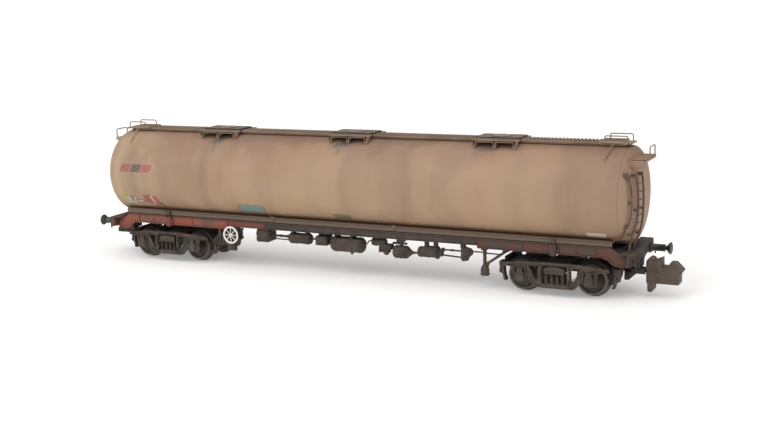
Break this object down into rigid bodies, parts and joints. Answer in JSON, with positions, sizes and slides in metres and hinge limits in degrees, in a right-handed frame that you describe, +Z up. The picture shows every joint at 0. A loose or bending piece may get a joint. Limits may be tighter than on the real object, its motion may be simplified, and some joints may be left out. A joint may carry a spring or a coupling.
{
  "type": "model tank wagon",
  "caption": "Small-scale model of a long bogie tank wagon: dished tank on a slim underframe, top walkway with manhole platforms, swivelling bogies, free wheels and one hook coupler.",
  "frame": {"origin": "on the rail tops, midway between the two bogie pivots and on the centre line; the one hook coupler makes the bounding box about 1.8 mm longer towards +X", "axes": "+X along the wagon towards the end with the coupler, +Y to the side away from the handwheel, +Z up"},
  "size_m": [0.1319, 0.0186, 0.0305],
  "materials": {
    "tank": "weathered sand-grey paint over moulded plastic",
    "grating": "moulded walkway grating, dirty brown-grey",
    "wire": "fine painted steel wire",
    "solebar": "rust-red solebar paint, weathered",
    "frame": "dark weathered underframe plastic",
    "gear": "dark brown-grey moulded brake gear",
    "bogie": "dusty brown-grey bogie moulding",
    "wheel": "blackened turned steel with brown dirt",
    "axle": "bare steel",
    "buffer": "blackened turned steel",
    "handwheel": "white painted plastic",
    "coupler": "brown weathered coupler plastic",
    "pocket": "black plastic",
    "steel": "plain steel"
  },
  "bodies": {
    "wagon_body": {"tank_barrel": "tank", "tank_end_a": "tank", "tank_end_b": "tank", "ballast_weight": "steel", "walkway": "grating", "manhole_platform_1": "grating", "manhole_platform_2": "grating", "manhole_platform_3": "grating", "manhole_lid_1": "tank", "manhole_lid_2": "tank", "manhole_lid_3": "tank", "end_platform_a": "grating", "end_platform_b": "grating", "end_step_a": "tank", "end_step_b": "tank", "ladder_a": "wire", "ladder_b": "wire", "solebar_near": "solebar", "solebar_far": "solebar", "headstock_a": "frame", "headstock_b": "frame", "buffer_a_near": "buffer", "buffer_a_far": "buffer", "buffer_b_far": "buffer", "underframe_floor": "frame", "pivot_screw_a": "steel", "pivot_screw_b": "steel", "handwheel": "handwheel", "handwheel_stand": "gear", "equipment_box": "gear", "strainer_and_relay": "gear", "air_reservoir": "gear", "distributor_valve": "gear", "auxiliary_reservoir": "gear", "brake_cylinder": "gear", "discharge_pipe": "gear"},
    "bogie_a": {"bogie_a_frame_near": "bogie", "bogie_a_frame_far": "bogie", "bogie_a_beam": "bogie", "bogie_a_coupler_pocket": "pocket"},
    "wheelset_a1": {"wheelset_a1_axle": "axle", "wheelset_a1_wheel_near": "wheel", "wheelset_a1_wheel_far": "wheel"},
    "wheelset_a2": {"wheelset_a2_axle": "axle", "wheelset_a2_wheel_near": "wheel", "wheelset_a2_wheel_far": "wheel"},
    "bogie_b": {"bogie_b_frame_near": "bogie", "bogie_b_frame_far": "bogie", "bogie_b_beam": "bogie", "bogie_b_coupler_pocket": "pocket", "coupler_spring": "steel"},
    "wheelset_b1": {"wheelset_b1_axle": "axle", "wheelset_b1_wheel_near": "wheel", "wheelset_b1_wheel_far": "wheel"},
    "wheelset_b2": {"wheelset_b2_axle": "axle", "wheelset_b2_wheel_near": "wheel", "wheelset_b2_wheel_far": "wheel"},
    "coupler": {"coupler_hook": "coupler"}
  },
  "joints": [
    {"name": "bogie_a_swivel", "type": "hinge", "parent": "wagon_body", "child": "bogie_a", "pos_m": [-0.045, 0, 0.0063], "axis": [0, 0, 1], "range_deg": [-12, 12]},
    {"name": "wheelset_a1_spin", "type": "hinge", "parent": "bogie_a", "child": "wheelset_a1", "pos_m": [-0.0518, 0, 0.00345], "axis": [0, 1, 0], "continuous": true},
    {"name": "wheelset_a2_spin", "type": "hinge", "parent": "bogie_a", "child": "wheelset_a2", "pos_m": [-0.0382, 0, 0.00345], "axis": [0, 1, 0], "continuous": true},
    {"name": "bogie_b_swivel", "type": "hinge", "parent": "wagon_body", "child": "bogie_b", "pos_m": [0.045, 0, 0.0063], "axis": [0, 0, 1], "range_deg": [-12, 12]},
    {"name": "wheelset_b1_spin", "type": "hinge", "parent": "bogie_b", "child": "wheelset_b1", "pos_m": [0.0382, 0, 0.00345], "axis": [0, 1, 0], "continuous": true},
    {"name": "wheelset_b2_spin", "type": "hinge", "parent": "bogie_b", "child": "wheelset_b2", "pos_m": [0.0518, 0, 0.00345], "axis": [0, 1, 0], "continuous": true},
    {"name": "coupler_lift", "type": "hinge", "parent": "bogie_b", "child": "coupler", "pos_m": [0.0598, 0, 0.00485], "axis": [0, -1, 0], "range_deg": [0, 7], "stiffness_Nm_per_rad": 0.0006, "springref_deg": -1.15}
  ]
}
